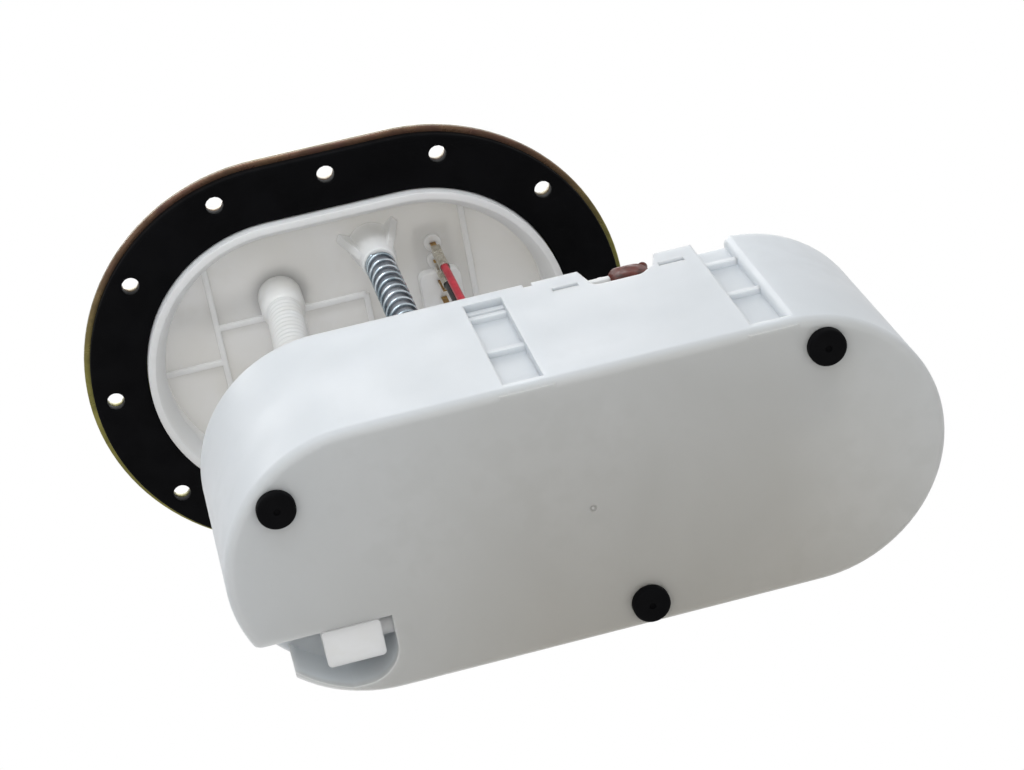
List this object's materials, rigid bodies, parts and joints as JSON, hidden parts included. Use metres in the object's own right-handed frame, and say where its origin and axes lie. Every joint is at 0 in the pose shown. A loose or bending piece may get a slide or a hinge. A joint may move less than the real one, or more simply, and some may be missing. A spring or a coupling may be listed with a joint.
{
  "type": "fuel pump module",
  "caption": "In-tank fuel pump module: oval bolted flange with lid, sprung guide rods, outlet hose and leads, and a sliding oval reservoir with pump, filter and jet pump.",
  "frame": {"origin": "centre of the flange's bolt pattern, on the gasket's underside (the tank's seating plane)", "axes": "+Z out of the tank along the guide rods, X along the module's length"},
  "size_m": [0.268, 0.154, 0.2025],
  "materials": {
    "zinc_plate": "yellow zinc passivated steel, faint iridescence",
    "black_rubber": "matt nitrile rubber",
    "white_nylon": "satin natural moulding",
    "grey_white_acetal": "satin natural acetal moulding",
    "hose_nylon": "natural extruded nylon",
    "brass": "stamped brass",
    "tinned_brass": "tinned brass",
    "bright_steel": "drawn bright steel",
    "spring_steel": "spring steel, bluish",
    "dark_plastic": "black acetal",
    "sintered_bronze": "sintered bronze",
    "ferrite": "ground ferrite",
    "carbon": "pressed carbon",
    "brown_plastic": "brown connector plastic",
    "lamination_steel": "stacked laminations",
    "copper": "drawn copper",
    "strainer_mesh": "woven nylon mesh",
    "filter_paper": "pleated paper",
    "red_insulation": "red wire insulation",
    "black_insulation": "black wire insulation"
  },
  "bodies": {
    "flange": {"flange_plate": "zinc_plate", "flange_gasket": "black_rubber", "lid": "white_nylon", "outlet_fitting": "white_nylon", "outlet_o_ring": "black_rubber", "connector_pins": "brass", "wire_terminals": "tinned_brass", "guide_rod_front": "bright_steel", "guide_rod_rear": "bright_steel", "rod_clips": "bright_steel", "spring_front": "spring_steel", "spring_rear": "spring_steel", "lid_hose": "hose_nylon", "lead_red": "red_insulation", "lead_black": "black_insulation"},
    "reservoir": {"reservoir": "grey_white_acetal", "reservoir_cover": "white_nylon", "rubber_feet": "black_rubber", "pump_can": "bright_steel", "pump_inlet_cap": "dark_plastic", "pump_end_cap": "dark_plastic", "pump_chamber": "dark_plastic", "pump_bearings": "sintered_bronze", "pump_magnets": "ferrite", "pump_brushes": "carbon", "pump_isolator": "black_rubber", "pump_terminals": "brass", "pump_plug": "brown_plastic", "strainer_sock": "strainer_mesh", "strainer_collar": "white_nylon", "filter_canister": "dark_plastic", "filter_element": "filter_paper", "filter_head": "dark_plastic", "regulator": "zinc_plate", "regulator_o_ring": "black_rubber", "regulator_clip": "spring_steel", "jet_pump_body": "white_nylon", "jet_pump_nozzle": "dark_plastic", "pump_link": "hose_nylon", "link_clamps": "spring_steel", "return_hose": "hose_nylon"},
    "pump_rotor": {"rotor_shaft": "bright_steel", "rotor_armature": "lamination_steel", "rotor_commutator": "copper", "rotor_impeller": "dark_plastic"},
    "inlet_valve": {"inlet_valve": "black_rubber"}
  },
  "joints": [
    {"name": "reservoir_slide", "type": "slide", "parent": "flange", "child": "reservoir", "axis": [0, 0, 1], "range_m": [0, 0.032], "stiffness_N_per_m": 800, "springref_m": -0.025, "deforming": ["spring_front", "spring_rear", "lid_hose", "lead_red", "lead_black"]},
    {"name": "rotor_spin", "type": "hinge", "parent": "reservoir", "child": "pump_rotor", "pos_m": [0.088, -0.02, -0.125], "axis": [0, 0, 1], "continuous": true},
    {"name": "valve_lift", "type": "slide", "parent": "reservoir", "child": "inlet_valve", "axis": [0, 0, 1], "range_m": [0, 0.0014]}
  ]
}
